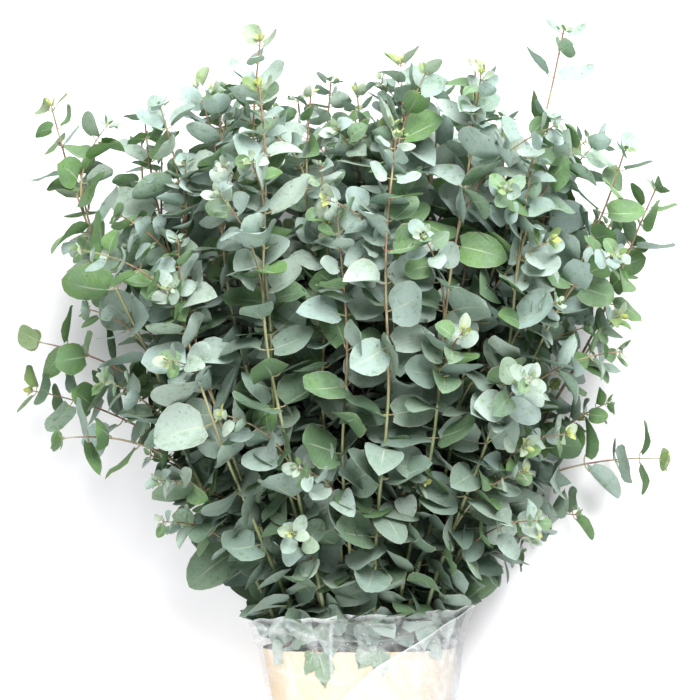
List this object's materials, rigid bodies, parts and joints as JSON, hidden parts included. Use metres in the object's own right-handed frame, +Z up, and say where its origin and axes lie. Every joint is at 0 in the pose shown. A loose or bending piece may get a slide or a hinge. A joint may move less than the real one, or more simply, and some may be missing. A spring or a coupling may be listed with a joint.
{
  "type": "eucalyptus branch bunch",
  "caption": "Fan-shaped florist's bunch of silver-dollar eucalyptus branches with round grey-green leaves, lying flat in a clear film sleeve with a card wrap and a tie band at the stems.",
  "frame": {"origin": "middle of the bounding box on the surface that the bunch lies on", "axes": "+Y along the bunch from the cut ends to the leafy tips, +X to the right when seen from above with the tips up, +Z up from the surface"},
  "size_m": [0.7188, 0.796, 0.2657],
  "materials": {
    "branch": "matte waxy grey-green leaves on smooth green to red-brown stems",
    "card": "plain brown corrugated kraft card",
    "film": "clear crinkled perforated film",
    "band": "plain tan rubber"
  },
  "bodies": {
    "root": {"branch_01": "branch", "branch_02": "branch", "branch_03": "branch", "branch_04": "branch", "branch_05": "branch", "branch_06": "branch", "branch_07": "branch", "branch_08": "branch", "branch_09": "branch", "branch_10": "branch", "branch_11": "branch", "branch_12": "branch", "branch_13": "branch", "branch_14": "branch", "branch_15": "branch", "branch_16": "branch", "branch_17": "branch", "branch_18": "branch", "branch_19": "branch", "branch_20": "branch", "branch_21": "branch", "branch_22": "branch", "branch_23": "branch", "branch_24": "branch", "branch_25": "branch", "branch_26": "branch", "branch_27": "branch", "branch_28": "branch", "branch_29": "branch", "branch_30": "branch", "branch_31": "branch", "branch_32": "branch", "branch_33": "branch", "branch_34": "branch", "branch_35": "branch", "branch_36": "branch", "branch_37": "branch", "branch_38": "branch", "card_wrap": "card", "sleeve": "film", "tie_band": "band"}
  },
  "joints": []
}
